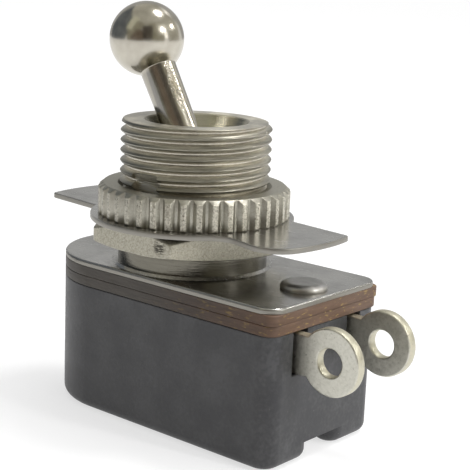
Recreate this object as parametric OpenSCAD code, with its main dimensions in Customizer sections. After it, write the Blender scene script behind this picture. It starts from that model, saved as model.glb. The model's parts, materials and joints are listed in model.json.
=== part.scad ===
// Panel toggle switch: ball-ended lever in a threaded bushing, with a round knurled nut,
// a two-winged indicator plate and a hex nut, on a moulded housing with two solder terminals.
// +Z is up and the origin is on the bushing's axis, in the plane that the housing stands on.
// The long axis is X, and the terminals point along +X. Millimetres.

/* [Housing] */
// Width across the flat sides
body_w = 13.3; // [12.6:0.1:15]
// From the bushing's axis to the terminal end
body_front = 13.7; // [13.3:0.1:16]
// From the bushing's axis to the centre of the round end
body_back = 5.1; // [4.8:0.05:7]
// Height of the moulding, under the gaskets
body_h = 10.25; // [10.1:0.05:13]
// Radius of the two upright corners at the terminal end
corner_r = 1.5; // [1:0.1:2.5]
// Radius along the bottom edge
edge_r = 0.8; // [0.4:0.1:1.2]
// Thickness of the side walls
wall_t = 1.6; // [1.2:0.1:1.9]
// Thickness of the floor
floor_t = 2.5; // [2.2:0.1:3]
// Thickness of the solid block that carries the terminals
block_t = 5.0; // [4.8:0.1:5.4]
// Depth of the recess for the closed end of the rivet
recess_h = 1.35; // [1.1:0.05:1.6]
// Thickness of the wall between that recess and the terminal end
recess_wall = 2.5; // [2.2:0.1:2.8]
// Width of the opening through that wall, between its round ends
recess_gap = 2.7; // [2.4:0.1:3]

/* [Gaskets and cover] */
// Thickness of one fibre gasket
gasket_t = 0.8; // [0.5:0.05:1.2]
// Thickness of the cover plate
cover_t = 0.45; // [0.3:0.05:0.6]
// Height of the pressed boss round the bushing
boss_h = 0.2; // [0.1:0.05:0.3]
// Radius of the pressed boss
boss_r = 6.45; // [6.3:0.05:6.6]

/* [Cover rivet] */
// From the bushing's axis to the rivet
rivet_x = 11.25; // [11.1:0.05:11.4]
// Radius of the shank
rivet_r = 1.0; // [0.7:0.05:1.1]
// Radius of the head
rivet_head_r = 1.8; // [1.5:0.05:2.1]
// Height of the head
rivet_head_h = 0.55; // [0.3:0.05:0.8]

/* [Bushing] */
// Radius over the thread, for a 15/32 inch thread
thread_r = 5.953; // [5.8:0.001:6.1]
// Pitch of the thread, 32 to the inch
thread_pitch = 0.794; // [0.7:0.001:0.9]
// Depth of the thread's grooves
thread_depth = 0.4; // [0.3:0.05:0.5]
// Height of the bushing above the pressed boss
bushing_h = 11.15; // [10.8:0.05:12]
// Radius of the bore in the lower part
bore_r = 4.4; // [4.3:0.05:4.6]
// Radius of the mouth at the top face
mouth_r = 4.15; // [3.95:0.05:4.4]
// Chamfer round the top of the thread
thread_chamfer = 0.35; // [0.1:0.05:0.5]
// Width of the keyway
key_w = 2.6; // [2:0.1:3]
// Depth of the keyway
key_depth = 0.8; // [0.5:0.05:0.95]
// From the top of the bushing down to the end of the keyway
key_top = 3.35; // [3:0.05:4.5]

/* [Lever] */
// From the top of the bushing down to the pivot
pivot_drop = 3.8; // [3.7:0.05:4]
// Tilt to each side of upright, in degrees
tilt = 30.5; // [24:0.5:31]
// From the pivot to the centre of the ball
ball_reach = 11.2; // [10:0.1:14]
// Radius of the ball
ball_r = 3.0; // [2.6:0.05:3.6]
// Radius of the stem where it enters the ball
stem_top_r = 1.46; // [1.2:0.02:1.8]
// Radius of the stem where it leaves the hub
stem_low_r = 1.36; // [1.1:0.02:1.4]
// Radius of the round hub at the pivot
hub_r = 2.6; // [2.5:0.05:2.7]
// From the pivot down to the centre of the tail's tip
tail_reach = 4.6; // [4.5:0.05:4.7]
// Radius of the round tip of the tail
tip_r = 0.9; // [0.8:0.05:0.95]
// Radius of the pivot pin
pin_r = 0.75; // [0.6:0.05:0.8]

/* [Nuts and indicator plate] */
// From the pressed boss up to the hex nut
collar_h = 1.5; // [1.2:0.05:2]
// Hex nut across its flats
hex_af = 14.2; // [13.6:0.1:14.6]
// Thickness of the hex nut
hex_t = 1.76; // [1.5:0.02:2]
// Thickness of the indicator plate
indicator_t = 0.45; // [0.4:0.05:0.6]
// Radius of the indicator plate's ring
indicator_ring_r = 8.1; // [8:0.05:8.6]
// Radius at the ends of its wings
wing_r = 13.4; // [12:0.1:15]
// Half width of a wing on its square side
wing_half = 4.65; // [4.2:0.05:5]
// How far the plate is turned from the long axis, in degrees
indicator_turn = -7; // [-7:0.5:0]
// How far the plate has slipped sideways on the thread, within its loose bore
indicator_slip = 0.15; // [0:0.05:0.2]
// Thickness of the knurled nut
knurl_t = 2.4; // [2.2:0.05:2.6]
// Radius of the knurled nut over its teeth
knurl_r = 7.6; // [7.2:0.05:7.9]
// Number of teeth on the knurled nut
knurl_teeth = 40; // [32:1:44]

/* [Terminals] */
// Thickness of a terminal
term_t = 0.85; // [0.6:0.05:1]
// From the long axis to the middle of a terminal
term_y = 3.28; // [3.1:0.02:3.4]
// From the terminal end of the housing to the centre of the eye
eye_out = 2.9; // [2.7:0.1:4]
// Radius of the ring round the eye
eye_ring_r = 2.52; // [2.2:0.02:2.7]
// Radius of the eye
eye_r = 1.06; // [0.8:0.02:1.3]
// Height of the blade inside the housing
blade_h = 3.1; // [2.8:0.1:3.4]

/* [Contact slider] */
// Length of the slider's body
slider_l = 8.0; // [7.6:0.1:8.2]
// Width of the slider's body
slider_w = 4.6; // [4.2:0.1:4.6]
// Thickness of the bridge contact
bridge_t = 0.4; // [0.3:0.05:0.45]
// How far the bridge contact laps over the terminals when it is on
lap = 1.8; // [1.2:0.1:1.9]
// Thickness of the detent spring
detent_t = 0.2; // [0.15:0.05:0.25]

/* [Hidden] */
$fn = 96;

// Clearances
run_gap = 0.03;     // shaft in a hole, on the radius
seat_gap = 0.02;    // faces that seat on each other and slide
loose_gap = 0.1;    // parts that only locate each other
term_gap = 0.04;    // a terminal in its slot, at each side
cut = 1;            // how far a cutter runs past a face

// Heights
gasket_top = body_h + 2 * gasket_t;
cover_top = gasket_top + cover_t;
boss_top = cover_top + boss_h;
hex_z = boss_top + collar_h;
indicator_z = hex_z + hex_t;
knurl_z = indicator_z + indicator_t;
knurl_top = knurl_z + knurl_t;
bushing_top = boss_top + bushing_h;
pivot_z = bushing_top - pivot_drop;

// Housing
round_r = body_w / 2;
cavity_r = round_r - wall_t;
cavity_front = body_front - block_t;
rivet_hole_r = rivet_r + 0.05;
clinch_r = rivet_r + 0.4;
clinch_h = 0.6;
recess_l = 3.0;
recess_side = 1.0;                          // how far the recess widens past its opening
post_r = recess_wall / 2;
post_y = recess_gap / 2 + post_r;
recess_half = post_y + recess_side;
ridge_r = 0.6;                              // detent ridge on the cavity's floor
ridge_h = 0.35;
channel_w = 3.0;                            // channel under the slider, for the ridge and spring
ridge_half = channel_w / 2 - 0.3;

// Bushing and what it holds
stem_r = 5.0;                               // reduced end that passes through the cover plate
swage_r = 5.45;                             // rim closed over the underside of the cover plate
swage_h = 0.6;
socket_r = hub_r + 0.06;                    // ball-shaped socket over the hub
mouth_slope = (mouth_r - socket_r * cos(24)) / (pivot_drop - socket_r * sin(24));
groove_r = bore_r + 0.35;
seat_top = pivot_z - pin_r - 0.12;
seat_h = 1.1;
seat_in_r = 2.2;
wave_h = 0.45;
ring_h = 0.5;
wave_z = seat_top - seat_h - wave_h;
ring_z = wave_z - ring_h;
ring_in_r = 3.15;
ring_mouth = 2.4;                           // opening of the retaining ring
key_cutter_r = 3.2;
key_floor_r = thread_r - key_depth;
thread_floor = 0.1;                         // flat at the bottom of a groove of the thread
thread_mouth = thread_floor + 0.9 * thread_depth;
first_groove = thread_chamfer + 0.3;        // from the top of the bushing
groove_count = floor((bushing_top - knurl_top - first_groove) / thread_pitch + 0.5);
thread_mesh = 0.25;                         // from the crests down to where two threads meet
nut_seat_r = thread_r - thread_mesh;        // the bushing inside the nuts
nut_bore_r = nut_seat_r + seat_gap;
nut_mouth_r = thread_r + 0.15;              // countersink at both faces of a nut

// Tail of the lever
tail_low_r = 0.6;
tail_top_r = 1.1;

// Indicator plate
blend_tilt = 7.5;                           // slope of the wing's blended side
blend_half = 2.26;                          // that side's distance from the axis
blend_r = 2.0;                              // fillet between that side and the ring
wing_corner = 0.3;                          // corner on the square side
blend_corner = 2.4;                         // corner on the blended side
tab_w = 1.2;
tab_in_r = key_floor_r + 0.25;
plate_bore_r = thread_r + indicator_slip + loose_gap;

// Knurling
knurl_depth = 0.38;
knurl_crest = 0.33;                         // share of the pitch left as a flat crest
knurl_floor = 0.18;                         // share of the pitch at the bottom of a groove
knurl_top_drop = 0.32;                      // the top chamfer falls by this over a groove's depth
knurl_low_chamfer = 0.12;

// Terminals
eye_x = body_front + eye_out;
blade_top = body_h - 0.15;
blade_low = blade_top - blade_h;
eye_z = (blade_top + blade_low) / 2;
blade_in_x = cavity_front - lap - 0.2;
foot_x = cavity_front + 1.0;
foot_l = 1.6;
foot_h = 1.5;
mouth_w = 1.65;                             // width of a terminal's slot at the end face
mouth_depth = 1.4;

// Slider
travel_half = tail_reach * sin(tilt);
slider_x = travel_half;                     // the lever rests with its tail towards +X
slider_low = floor_t + 0.05;
slider_top = body_h - 0.35;
base_half = cavity_r - 0.35;
base_h = 1.55;
fork_slot = 2 * (tip_r + loose_gap);
fork_wall = 0.7;
fork_half_y = 1.4;
fork_low = pivot_z - tail_reach - tip_r - 0.15;
fork_top = pivot_z - tail_reach * cos(tilt) + 0.33;
bridge_out = term_y - term_t / 2 - seat_gap;
bridge_h = 2.4;
bridge_z = eye_z - bridge_h / 2;
bridge_tip = cavity_front - 0.2 - slider_x;
bridge_back = -slider_l / 2 + 0.8;
spring_hole_r = 1.15;
spring_wire_r = 0.16;
spring_turns = 5;
spring_x = 2.2;
leaf_r = 4.0;
leaf_half = 2.0;
leaf_w = 1.8;
leaf_lift = 0.01;
leaf_rise = leaf_r - sqrt(pow(leaf_r - detent_t, 2) - pow(leaf_half, 2));
channel_h = floor_t + leaf_lift + leaf_rise + seat_gap - slider_low;

// ---------------------------------------------------------------- shared shapes

// Upright section from the middle out to r, with its lower and upper outer corners rounded.
module rounded_section(r, h, low, high) {
    difference() {
        square([r, h]);
        if (low > 0) corner_cutter(r - low, low, low, -1);
        if (high > 0) corner_cutter(r - high, h - high, high, 1);
    }
}

// What lies outside a corner's arc: the arc is centred on x, z, and side is its way up.
module corner_cutter(x, z, r, side) {
    difference() {
        translate([x, side > 0 ? z : z - r - cut]) square([r + cut, r + cut]);
        translate([x, z]) circle(r);
    }
}

// A block with the housing's plan, one end round, with rounded lower and upper edges and
// upright corners of radius c.
module plan_block(h, low, high, c = corner_r) {
    r = round_r;
    front = body_front;
    straight = front - c + body_back;
    translate([-body_back, 0, 0]) rotate([0, 0, 90])
        rotate_extrude(angle = 180) rounded_section(r, h, low, high);
    translate([-body_back, 0, 0]) rotate([90, 0, 90]) linear_extrude(straight) {
        rounded_section(r, h, low, high);
        mirror([1, 0]) rounded_section(r, h, low, high);
    }
    translate([front - c, r - c, 0]) rotate([90, 0, 0])
        linear_extrude(2 * (r - c)) rounded_section(c, h, low, high);
    for (s = [0, 1]) mirror([0, s, 0]) translate([front - c, r - c, 0])
        rotate_extrude(angle = 90) rounded_section(c, h, low, high);
}

// A ring of square section.
module ring(outer, inner, h) {
    difference() {
        cylinder(r = outer, h = h);
        translate([0, 0, -cut]) cylinder(r = inner, h = h + 2 * cut);
    }
}

// ---------------------------------------------------------------- housing and cover

module housing() color("#3e3e40") difference() {
    union() {
        difference() {
            plan_block(body_h, edge_r, 0);
            rivet_recess();
        }
        recess_posts();
    }
    cavity();
    for (s = [-1, 1]) translate([0, s * term_y, 0]) terminal_slot();
    translate([rivet_x, 0, -cut]) cylinder(r = rivet_hole_r, h = body_h + 2 * cut);
}

// Space for the moving parts, with the detent's ridge left standing on its floor.
module cavity() difference() {
    translate([0, 0, floor_t]) linear_extrude(body_h) {
        translate([-body_back, 0]) circle(cavity_r);
        translate([-body_back, -cavity_r]) square([body_back + cavity_front, 2 * cavity_r]);
    }
    translate([0, ridge_half, floor_t - ridge_r + ridge_h]) rotate([90, 0, 0])
        cylinder(r = ridge_r, h = 2 * ridge_half);
}

// Underside recess round the closed end of the rivet, open through the terminal end.
module rivet_recess() translate([0, 0, -cut]) linear_extrude(recess_h + cut) {
    inner = body_front - recess_wall;
    translate([inner - recess_l, -recess_half]) square([recess_l, 2 * recess_half]);
    translate([inner - cut, -post_y]) square([recess_wall + 2 * cut, 2 * post_y]);
}

// The round ends of the wall on both sides of the recess's opening.
module recess_posts() for (s = [-1, 1])
    translate([body_front - post_r, s * post_y, 0])
        rotate_extrude() rounded_section(post_r, recess_h, edge_r, 0);

// Slot for one terminal, open at the top, with a pocket for its foot and a wider mouth.
module terminal_slot() {
    w = term_t + 2 * term_gap;
    translate([cavity_front - cut, -w / 2, blade_low - term_gap])
        cube([block_t + 2 * cut, w, body_h]);
    translate([foot_x - loose_gap, -w / 2, blade_low - foot_h - loose_gap])
        cube([foot_l + 2 * loose_gap, w, body_h]);
    translate([body_front - mouth_depth, -mouth_w / 2, blade_low - term_gap])
        cube([mouth_depth + cut, mouth_w, body_h]);
}

module gasket(z, c) color("#6e4e38") translate([0, 0, z]) difference() {
    plan_block(gasket_t, 0.25, 0.25, c);
    translate([0, 0, -cut]) cylinder(r = swage_r + loose_gap, h = gasket_t + 2 * cut);
    translate([rivet_x, 0, -cut]) cylinder(r = rivet_hole_r, h = gasket_t + 2 * cut);
}

module lower_gasket() gasket(body_h, corner_r * 0.7);
module upper_gasket() gasket(body_h + gasket_t, corner_r * 0.5);

module cover_plate() color("#9c9c9b") translate([0, 0, gasket_top]) difference() {
    union() {
        plan_block(cover_t, 0.05, 0.2);
        translate([0, 0, cover_t]) cylinder(r1 = boss_r, r2 = boss_r - boss_h, h = boss_h);
    }
    translate([0, 0, -cut]) cylinder(r = stem_r + 0.03, h = cover_t + boss_h + 2 * cut);
    translate([0, 0, -cut]) cylinder(r = swage_r + loose_gap, h = boss_h + cut);
    translate([rivet_x, 0, -cut]) cylinder(r = rivet_hole_r, h = cover_t + 2 * cut);
}

// Flat-topped head above the cover, shank through the stack, end closed in the recess.
module cover_rivet() color("#a2a2a0") translate([rivet_x, 0, 0]) rotate_extrude() polygon([
    [0, recess_h - clinch_h], [clinch_r - 0.5, recess_h - clinch_h],
    [clinch_r, recess_h - 0.3], [clinch_r, recess_h], [rivet_r, recess_h],
    [rivet_r, cover_top], [rivet_head_r, cover_top], [rivet_head_r - 0.15, cover_top + 0.2],
    [rivet_head_r - 0.6, cover_top + rivet_head_h], [0, cover_top + rivet_head_h]]);

// ---------------------------------------------------------------- bushing

module bushing() color("#aeaba0") difference() {
    bushing_blank();
    bushing_bore();
    pin_slot();
    keyway();
    thread_grooves();
}

module bushing_blank() {
    swage_z = gasket_top + boss_h - swage_h;
    translate([0, 0, swage_z]) cylinder(r = swage_r, h = swage_h);
    translate([0, 0, swage_z]) cylinder(r = stem_r, h = boss_top - swage_z);
    translate([0, 0, boss_top]) cylinder(r = thread_r, h = collar_h);
    translate([0, 0, hex_z]) cylinder(r = nut_seat_r, h = knurl_top - hex_z);
    translate([0, 0, knurl_top]) cylinder(r = thread_r, h = bushing_top - thread_chamfer - knurl_top);
    translate([0, 0, bushing_top - thread_chamfer])
        cylinder(r1 = thread_r, r2 = thread_r - thread_chamfer / 2, h = thread_chamfer);
}

// Wide bore from below, ball-shaped socket, cone up to the mouth and groove for the ring.
module bushing_bore() {
    translate([0, 0, body_h]) cylinder(r = bore_r, h = seat_top + 0.03 - body_h);
    translate([0, 0, pivot_z]) sphere(r = socket_r);
    translate([0, 0, pivot_z]) cylinder(r1 = mouth_r - mouth_slope * pivot_drop,
        r2 = mouth_r + mouth_slope * cut, h = pivot_drop + cut);
    translate([0, 0, ring_z - 0.02]) cylinder(r = groove_r, h = ring_h + 0.04);
}

// Groove that the pivot pin slides up in from below, round at its closed end.
module pin_slot() {
    r = pin_r + run_gap;
    half = bore_r - 0.05;
    translate([0, half, pivot_z]) rotate([90, 0, 0]) cylinder(r = r, h = 2 * half);
    translate([-r, -half, ring_z]) cube([2 * r, 2 * half, pivot_z - ring_z]);
}

// Keyway cut by a disc from the collar up, so that its upper end runs out to the surface.
module keyway() {
    run_out = sqrt(pow(key_cutter_r, 2) - pow(key_cutter_r - key_depth, 2));
    end_z = bushing_top - key_top - run_out;
    translate([-key_w / 2, -key_floor_r - key_cutter_r, end_z]) rotate([0, 90, 0])
        cylinder(r = key_cutter_r, h = key_w);
    translate([-key_w / 2, -key_floor_r - 2 * key_depth, hex_z])
        cube([key_w, 2 * key_depth, end_z - hex_z]);
}

// The thread that stands clear of the nuts, drawn as rings. Each groove's sloping sides run
// on past the crests by as much again as it is deep.
module thread_grooves() for (i = [0 : groove_count - 1])
    translate([0, 0, bushing_top - first_groove - i * thread_pitch]) rotate_extrude() polygon([
        [thread_r - thread_depth, -thread_floor / 2],
        [thread_r + thread_depth, thread_floor / 2 - thread_mouth],
        [thread_r + thread_depth, thread_mouth - thread_floor / 2],
        [thread_r - thread_depth, thread_floor / 2]]);

// Pivot pin, with a chamfer at each end.
module pivot_pin() color("#b8b6ae") translate([0, bore_r - 0.1, pivot_z]) rotate([90, 0, 0]) {
    l = 2 * bore_r - 0.2;
    cylinder(r1 = pin_r - 0.15, r2 = pin_r, h = 0.15);
    translate([0, 0, 0.15]) cylinder(r = pin_r, h = l - 0.3);
    translate([0, 0, l - 0.15]) cylinder(r1 = pin_r, r2 = pin_r - 0.15, h = 0.15);
}

// Friction seat under the hub.
module seat_ring() color("#c9a24b") difference() {
    translate([0, 0, seat_top - seat_h]) ring(bore_r - 0.04, seat_in_r, seat_h);
    translate([0, 0, pivot_z]) sphere(r = hub_r + run_gap);
}

// Wavy spring washer that loads the seat ring.
module wave_washer() color("#8f9194") {
    steps = 48;
    inner = ring_in_r;
    outer = bore_r - 0.08;
    wave = (wave_h - 0.25) / 2 - 0.01;
    mid = wave_z + wave_h / 2;
    verts = [for (i = [0 : steps - 1]) let (a = 360 * i / steps, z = mid + wave * cos(3 * a))
             for (p = [[inner, -0.12], [outer, -0.12], [outer, 0.12], [inner, 0.12]])
             [p[0] * cos(a), p[0] * sin(a), z + p[1]]];
    faces = [for (i = [0 : steps - 1]) for (k = [0 : 3]) let (j = (i + 1) % steps, k2 = (k + 1) % 4)
             [i * 4 + k, i * 4 + k2, j * 4 + k2, j * 4 + k]];
    polyhedron(points = verts, faces = faces);
}

// Open retaining ring, sprung into its groove.
module retaining_ring() color("#77797c") translate([0, 0, ring_z]) difference() {
    ring(groove_r - 0.05, ring_in_r, ring_h);
    translate([-ring_mouth / 2, 0, -cut]) cube([ring_mouth, groove_r + cut, ring_h + 2 * cut]);
}

// ---------------------------------------------------------------- nuts and indicator plate

module hex_nut() color("#b3b0a4") translate([0, 0, hex_z]) difference() {
    intersection() {
        cylinder(r = hex_af / 2 / cos(30), h = hex_t, $fn = 6);
        nut_chamfer(hex_af / 2 / cos(30) - 0.08, hex_t, 0.9, 0.25, 0.45);
    }
    nut_hole(hex_t);
}

// A disc whose edges slope over the given width, by low underneath and by high on top.
module nut_chamfer(r, h, width, low, high) rotate_extrude() polygon([
    [0, 0], [r - width, 0], [r, low], [r, h - high], [r - width, h], [0, h]]);

// Tapped hole drawn where the threads meet, countersunk at 45 degrees at both ends.
module nut_hole(h) {
    sink = nut_mouth_r - nut_bore_r;
    translate([0, 0, -cut]) cylinder(r = nut_bore_r, h = h + 2 * cut);
    translate([0, 0, h - sink]) cylinder(r1 = nut_bore_r, r2 = nut_bore_r + 2 * sink, h = 2 * sink);
    translate([0, 0, -sink]) cylinder(r1 = nut_bore_r + 2 * sink, r2 = nut_bore_r, h = 2 * sink);
}

module knurled_nut() color("#b5b2a6") translate([0, 0, knurl_z]) difference() {
    intersection() {
        linear_extrude(knurl_t) knurl_outline();
        rotate_extrude() polygon([
            [0, 0], [knurl_r - knurl_low_chamfer, 0], [knurl_r, knurl_low_chamfer],
            [knurl_r, knurl_t - knurl_top_drop], [knurl_r - knurl_depth, knurl_t], [0, knurl_t]]);
    }
    nut_hole(knurl_t);
}

// Flat-crested teeth with a flat-bottomed groove between each two. A groove's sloping sides
// run on past the teeth by as much again as it is deep.
module knurl_outline() difference() {
    circle(knurl_r);
    half_pitch = PI * knurl_r / knurl_teeth;
    mouth = half_pitch * (1 - knurl_crest);
    bottom = half_pitch * knurl_floor;
    low = knurl_r - knurl_depth;
    high = knurl_r + knurl_depth;
    for (i = [0 : knurl_teeth - 1]) rotate((i + 0.5) * 360 / knurl_teeth)
        polygon([[low, -bottom], [high, bottom - 2 * mouth], [high, 2 * mouth - bottom], [low, bottom]]);
}

module indicator_plate() color("#9b9a98") translate([0, 0, indicator_z])
    rotate([0, 0, indicator_turn]) translate([0, -indicator_slip, 0])
        linear_extrude(indicator_t) {
            difference() {
                union() {
                    circle(indicator_ring_r);
                    for (a = [0, 180]) rotate(a) {
                        wing();
                        blend_fillet();
                    }
                }
                circle(plate_bore_r);
            }
            translate([-tab_w / 2, indicator_slip - plate_bore_r - 0.3])
                square([tab_w, plate_bore_r + 0.3 - tab_in_r]);
        }

// One wing: square on one side, sloping on the other, with an end struck from the axis.
module wing() difference() {
    intersection() {
        circle(wing_r);
        polygon([[0, wing_half], [wing_r + cut, wing_half], [wing_r + cut, blend_y(wing_r + cut)],
                 [0, blend_y(0)]]);
    }
    wing_corner_cutter(wing_half, wing_corner);
    mirror([0, 1]) rotate(blend_tilt) wing_corner_cutter(blend_half, blend_corner);
}

// The sloping side's height at x.
function blend_y(x) = -blend_half / cos(blend_tilt) - x * tan(blend_tilt);

// What lies outside a corner of radius r between a side at the given height and the wing's end.
module wing_corner_cutter(side, r) {
    y = side - r;
    x = sqrt(pow(wing_r - r, 2) - y * y);
    far = 2 * r;
    translate([x, y]) difference() {
        polygon([[0, 0], [0, far], [far, far], far * [x, y] / norm([x, y])]);
        circle(r);
    }
}

// Fillet between the sloping side and the ring. Its arc crosses both by a hair, and so meets
// them at a small angle: arcs that only touch don't join into one clean outline.
module blend_fillet() rotate(-blend_tilt) {
    hair = 0.01;
    reach = indicator_ring_r + blend_r - hair;
    y = -blend_half - blend_r + hair;
    x = sqrt(reach * reach - y * y);
    difference() {
        polygon([[x, y], [x, -blend_half + 0.5], [x - blend_r, -blend_half + 0.5],
                 [x, y] * (indicator_ring_r - 0.5) / reach]);
        translate([x, y]) circle(blend_r);
    }
}

// ---------------------------------------------------------------- lever

// Ball, tapered stem, hub and tail turned in one piece, leaning to -X as it rests.
module lever() color("#c4c2bc") translate([0, 0, pivot_z]) rotate([0, -tilt, 0]) difference() {
    union() {
        translate([0, 0, ball_reach]) sphere(r = ball_r);
        cylinder(r1 = stem_low_r, r2 = stem_top_r, h = ball_reach - ball_r / 2);
        sphere(r = hub_r);
        translate([0, 0, -tail_reach]) cylinder(r1 = tail_low_r, r2 = tail_top_r, h = tail_reach);
        translate([0, 0, -tail_reach]) sphere(r = tip_r);
    }
    translate([0, hub_r + cut, 0]) rotate([90, 0, 0])
        cylinder(r = pin_r + run_gap, h = 2 * (hub_r + cut));
}

// ---------------------------------------------------------------- terminals

// Solder terminal stamped from strip: ring, blade and a foot that drops into the housing.
module terminal() rotate([90, 0, 0]) translate([0, 0, -term_t / 2]) linear_extrude(term_t)
    difference() {
        union() {
            translate([eye_x, eye_z]) circle(eye_ring_r);
            translate([blade_in_x, blade_low]) square([eye_x - blade_in_x, blade_h]);
            translate([foot_x, blade_low - foot_h]) square([foot_l, foot_h + blade_h / 2]);
        }
        translate([eye_x, eye_z]) circle(eye_r);
    }

module line_terminal() color("#c6c5bb") translate([0, -term_y, 0]) terminal();
module load_terminal() color("#c6c5bb") translate([0, term_y, 0]) terminal();

// ---------------------------------------------------------------- slider and its contact

module contact_slider() color("#2f2b28") translate([slider_x, 0, 0]) difference() {
    union() {
        translate([-slider_l / 2, -slider_w / 2, slider_low])
            cube([slider_l, slider_w, slider_top - slider_low]);
        translate([-slider_l / 2, -base_half, slider_low]) cube([slider_l, 2 * base_half, base_h]);
        translate([-fork_slot / 2 - fork_wall, -fork_half_y, slider_top - cut])
            cube([fork_slot + 2 * fork_wall, 2 * fork_half_y, fork_top - slider_top + cut]);
    }
    translate([-slider_l, -channel_w / 2, slider_low - cut])
        cube([2 * slider_l, channel_w, channel_h + cut]);
    translate([-fork_slot / 2, -2 * fork_half_y, fork_low])
        cube([fork_slot, 4 * fork_half_y, fork_top - fork_low + cut]);
    translate([bridge_back - 0.02, -slider_w, bridge_z - 0.02])
        cube([bridge_t + 0.04, 2 * slider_w, slider_top - bridge_z + cut]);
    translate([spring_x, slider_w, eye_z]) rotate([90, 0, 0])
        cylinder(r = spring_hole_r, h = 2 * slider_w);
}

// U-shaped strip: its two arms wipe the inner faces of the terminals.
module bridge_contact() color("#c08a3e") translate([slider_x, 0, bridge_z])
    linear_extrude(bridge_h) difference() {
        translate([bridge_back, -bridge_out]) square([bridge_tip - bridge_back, 2 * bridge_out]);
        translate([bridge_back + bridge_t, -bridge_out + bridge_t])
            square([bridge_tip - bridge_back, 2 * (bridge_out - bridge_t)]);
    }

// Coil spring across the slider, pressing the arms apart.
module contact_spring() color("#9a9c9e") translate([slider_x + spring_x, 0, eye_z])
    rotate([90, 0, 0]) {
        steps = 14;
        coil_r = spring_hole_r - spring_wire_r - 0.08;
        half = bridge_out - bridge_t - spring_wire_r - 0.02;
        coil(coil_r, spring_wire_r, half, spring_turns, steps);
    }

// Helix about Z from -half to half.
module coil(r, wire, half, turns, steps) {
    n = turns * steps;
    sides = 6;
    verts = [for (i = [0 : n]) let (a = 360 * i / steps, z = -half + 2 * half * i / n)
             for (k = [0 : sides - 1]) let (b = 360 * k / sides, q = r + wire * cos(b))
             [q * cos(a), q * sin(a), z + wire * sin(b)]];
    walls = [for (i = [0 : n - 1]) for (k = [0 : sides - 1]) let (k2 = (k + 1) % sides)
             [i * sides + k, i * sides + k2, (i + 1) * sides + k2, (i + 1) * sides + k]];
    ends = [[for (k = [sides - 1 : -1 : 0]) k], [for (k = [0 : sides - 1]) n * sides + k]];
    polyhedron(points = verts, faces = concat(walls, ends));
}

// Bowed leaf under the slider, which snaps over the ridge on the floor.
module detent_spring() color("#8d8f92")
    translate([slider_x, leaf_w / 2, floor_t + leaf_lift]) rotate([90, 0, 0]) linear_extrude(leaf_w)
        intersection() {
            translate([0, leaf_r]) difference() {
                circle(leaf_r);
                circle(leaf_r - detent_t);
            }
            translate([-leaf_half, -cut]) square([2 * leaf_half, cut + leaf_half]);
        }

housing();
lower_gasket();
upper_gasket();
cover_plate();
cover_rivet();
bushing();
hex_nut();
indicator_plate();
knurled_nut();
lever();
pivot_pin();
seat_ring();
wave_washer();
retaining_ring();
contact_slider();
bridge_contact();
contact_spring();
detent_spring();
line_terminal();
load_terminal();
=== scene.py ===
import json
from math import acos, atan2, cos, degrees, pi, radians, sin, sqrt, tan

import bpy
from mathutils import Matrix, Vector


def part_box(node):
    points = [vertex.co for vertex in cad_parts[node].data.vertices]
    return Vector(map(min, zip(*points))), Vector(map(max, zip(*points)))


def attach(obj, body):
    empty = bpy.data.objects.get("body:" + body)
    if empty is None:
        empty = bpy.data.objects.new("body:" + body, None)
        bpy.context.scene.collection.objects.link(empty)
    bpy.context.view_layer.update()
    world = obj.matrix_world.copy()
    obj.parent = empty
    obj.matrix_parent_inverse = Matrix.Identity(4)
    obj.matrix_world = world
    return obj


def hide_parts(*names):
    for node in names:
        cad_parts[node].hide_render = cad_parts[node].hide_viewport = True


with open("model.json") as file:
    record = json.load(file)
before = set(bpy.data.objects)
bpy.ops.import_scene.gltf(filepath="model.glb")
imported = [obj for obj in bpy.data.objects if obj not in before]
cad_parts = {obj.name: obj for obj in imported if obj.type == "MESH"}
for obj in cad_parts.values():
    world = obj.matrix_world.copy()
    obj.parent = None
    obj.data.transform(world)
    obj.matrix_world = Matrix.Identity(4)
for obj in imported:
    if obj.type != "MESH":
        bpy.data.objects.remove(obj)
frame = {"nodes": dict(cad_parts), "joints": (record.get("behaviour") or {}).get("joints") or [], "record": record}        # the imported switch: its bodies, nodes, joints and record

MM = 0.001
X_AXIS = Vector((1, 0, 0))
Z_AXIS = Vector((0, 0, 1))
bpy.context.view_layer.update()    # taken before any piece is made

# ---------------------------------------------------------------- sizes that the frame holds

mounts = {mount["name"]: mount for mount in frame["record"]["mounts"]}
tilt_joint = next(joint for joint in frame["joints"] if joint["name"] == "lever_tilt")

thread_r = mounts["bushing_thread"]["dims"]["r_mm"] * MM
pivot = Vector(tilt_joint["pos_m"])
lean = radians(tilt_joint["range_deg"][1]) / 2    # of the lever from upright, at rest
lever_axis = Vector((-sin(lean), 0, cos(lean)))
lever_side = Vector((cos(lean), 0, sin(lean)))

bushing_low, bushing_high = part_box("bushing")
lever_low, lever_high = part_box("lever")
rivet_low, rivet_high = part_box("cover_rivet")
rivet_x = (rivet_low.x + rivet_high.x) / 2
knurl_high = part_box("knurled_nut")[1]
hex_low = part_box("hex_nut")[0]
cover_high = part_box("cover_plate")[1]

# The ball touches the lever's box at its left and at its top, which gives its place and size.
across = pivot.x - lever_low.x
above = lever_high.z - pivot.z
ball_reach = (across - above) / (sin(lean) - cos(lean))
ball_r = above - ball_reach * cos(lean)

# ---------------------------------------------------------------- sizes that only the looks need

MERGE_WITHIN = 0.001 * MM         # vertices nearer than this are doubles
NEAR = 0.01 * MM                  # as good as at the same place

THREAD_PITCH = 25.4 / 32 * MM
FIRST_CREST = 22.25 * MM          # height of a crest on the +X side
# The groove between rounded crests: depth below the crest, and half its width there, in mm
THREAD_FORM = ((-0.07, 0.385), (0, 0.385), (0.04, 0.32), (0.11, 0.25), (0.22, 0.175), (0.50, 0.045))
THREAD_ROOT_R = thread_r - THREAD_FORM[-1][0] * MM

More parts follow.
